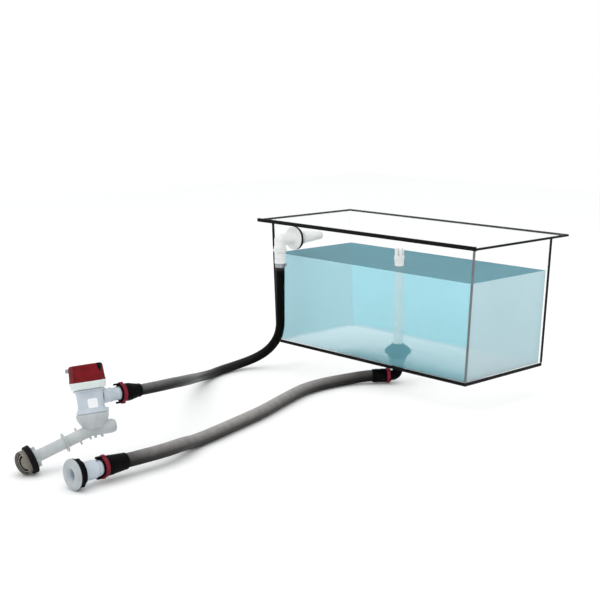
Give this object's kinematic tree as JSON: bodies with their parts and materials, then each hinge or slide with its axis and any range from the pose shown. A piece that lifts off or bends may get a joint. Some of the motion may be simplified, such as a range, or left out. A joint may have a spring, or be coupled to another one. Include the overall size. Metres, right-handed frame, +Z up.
{
  "type": "live bait well",
  "caption": "Clear rectangular bait tank with a flat rim, fed by a hose and aerator nozzle from a through-hull cartridge pump and drained by an overflow standpipe and hose.",
  "frame": {"origin": "centre of the opening that the tank drops into, level with the rim's underside", "axes": "X right along the tank's front, Y to the back, Z up"},
  "size_m": [0.8214, 1.4585, 0.4329],
  "materials": {
    "clear_acrylic": "clear polished sheet",
    "dark_strip": "satin black",
    "grey_strip": "satin grey",
    "white_plastic": "moulded white",
    "pump_plastic": "moulded bluish white",
    "black_plastic": "moulded black",
    "black_rubber": "matt rubber",
    "dark_red_plastic": "moulded dark red",
    "crimson_plastic": "moulded crimson",
    "strainer_bronze": "grey bronze",
    "fill_hose_rubber": "smooth hose",
    "drain_hose_rubber": "smooth hose",
    "steel": "stainless",
    "grey_plastic": "moulded grey"
  },
  "bodies": {
    "tank_and_plumbing": {"tank_floor_panel": "clear_acrylic", "tank_front_panel": "clear_acrylic", "tank_back_panel": "clear_acrylic", "tank_left_panel": "clear_acrylic", "tank_right_panel": "clear_acrylic", "rim_flange_front": "clear_acrylic", "rim_edging_front": "dark_strip", "rim_flange_back": "clear_acrylic", "rim_edging_back": "dark_strip", "rim_flange_left": "clear_acrylic", "rim_edging_left": "dark_strip", "rim_flange_right": "clear_acrylic", "rim_edging_right": "dark_strip", "corner_strip_front_left": "dark_strip", "corner_strip_front_right": "grey_strip", "corner_strip_back_right": "dark_strip", "base_strip_front": "dark_strip", "base_strip_right": "dark_strip", "fill_elbow": "white_plastic", "fill_wall_seal": "black_rubber", "fill_inner_nut": "white_plastic", "fill_coupling_ring": "white_plastic", "fill_hose_tail": "white_plastic", "fill_hose_clamp": "steel", "fill_hose": "fill_hose_rubber", "drain_body": "black_plastic", "drain_gasket": "black_rubber", "drain_lock_nut": "black_plastic", "drain_elbow": "black_plastic", "drain_adapter": "black_plastic", "drain_hose": "drain_hose_rubber", "outlet_mushroom": "white_plastic", "outlet_seal": "black_rubber", "outlet_nut": "black_plastic", "outlet_adapter": "black_plastic", "intake_barrel": "pump_plastic", "intake_end_plug": "pump_plastic", "intake_collar": "pump_plastic", "intake_nut": "pump_plastic", "intake_seal": "black_rubber", "intake_strainer": "strainer_bronze", "pump_housing": "pump_plastic", "pump_adapter": "black_plastic"},
    "standpipe": {"overflow_standpipe": "white_plastic"},
    "nozzle": {"aerator_nozzle": "white_plastic"},
    "drain_ring": {"drain_lock_ring": "crimson_plastic"},
    "outlet_ring": {"outlet_lock_ring": "crimson_plastic"},
    "pump_ring": {"pump_lock_ring": "crimson_plastic"},
    "locking_collar": {"pump_locking_collar": "white_plastic"},
    "motor_cartridge": {"motor_cap": "dark_red_plastic", "cable_gland": "black_rubber", "lock_tab": "grey_plastic", "motor_can": "steel", "cartridge_o_ring": "black_rubber", "upper_bearing": "steel", "lower_bearing": "steel", "shaft_seal": "black_rubber"},
    "rotor": {"motor_shaft": "steel", "motor_armature": "steel", "impeller": "grey_plastic"}
  },
  "joints": [
    {"name": "standpipe_lift", "type": "slide", "parent": "tank_and_plumbing", "child": "standpipe", "axis": [0, 0, 1], "range_m": [0, 0.36]},
    {"name": "nozzle_swivel", "type": "hinge", "parent": "tank_and_plumbing", "child": "nozzle", "pos_m": [-0.277, -0.105, -0.04], "axis": [0, 1, 0], "continuous": true},
    {"name": "drain_ring_turn", "type": "hinge", "parent": "tank_and_plumbing", "child": "drain_ring", "pos_m": [0.02726, -0.09432, -0.404], "axis": [-0.6, -0.8, 0], "range_deg": [0, 60]},
    {"name": "outlet_ring_turn", "type": "hinge", "parent": "tank_and_plumbing", "child": "outlet_ring", "pos_m": [0.18, -1.1454, -0.392], "axis": [0, 1, 0], "range_deg": [0, 60]},
    {"name": "pump_ring_turn", "type": "hinge", "parent": "tank_and_plumbing", "child": "pump_ring", "pos_m": [0.05096, -1.00393, -0.28141], "axis": [0.0934, 0.9954, -0.0196], "range_deg": [0, 60]},
    {"name": "locking_collar_turn", "type": "hinge", "parent": "tank_and_plumbing", "child": "locking_collar", "pos_m": [0.03575, -1.0827, -0.25253], "axis": [-0.2712, 0.0444, 0.9615], "range_deg": [0, 35]},
    {"name": "cartridge_lift", "type": "slide", "parent": "tank_and_plumbing", "child": "motor_cartridge", "axis": [-0.2712, 0.0444, 0.9615], "range_m": [0, 0.11]},
    {"name": "impeller_spin", "type": "hinge", "parent": "motor_cartridge", "child": "rotor", "pos_m": [0.0403, -1.08345, -0.26868], "axis": [-0.2712, 0.0444, 0.9615], "continuous": true}
  ]
}
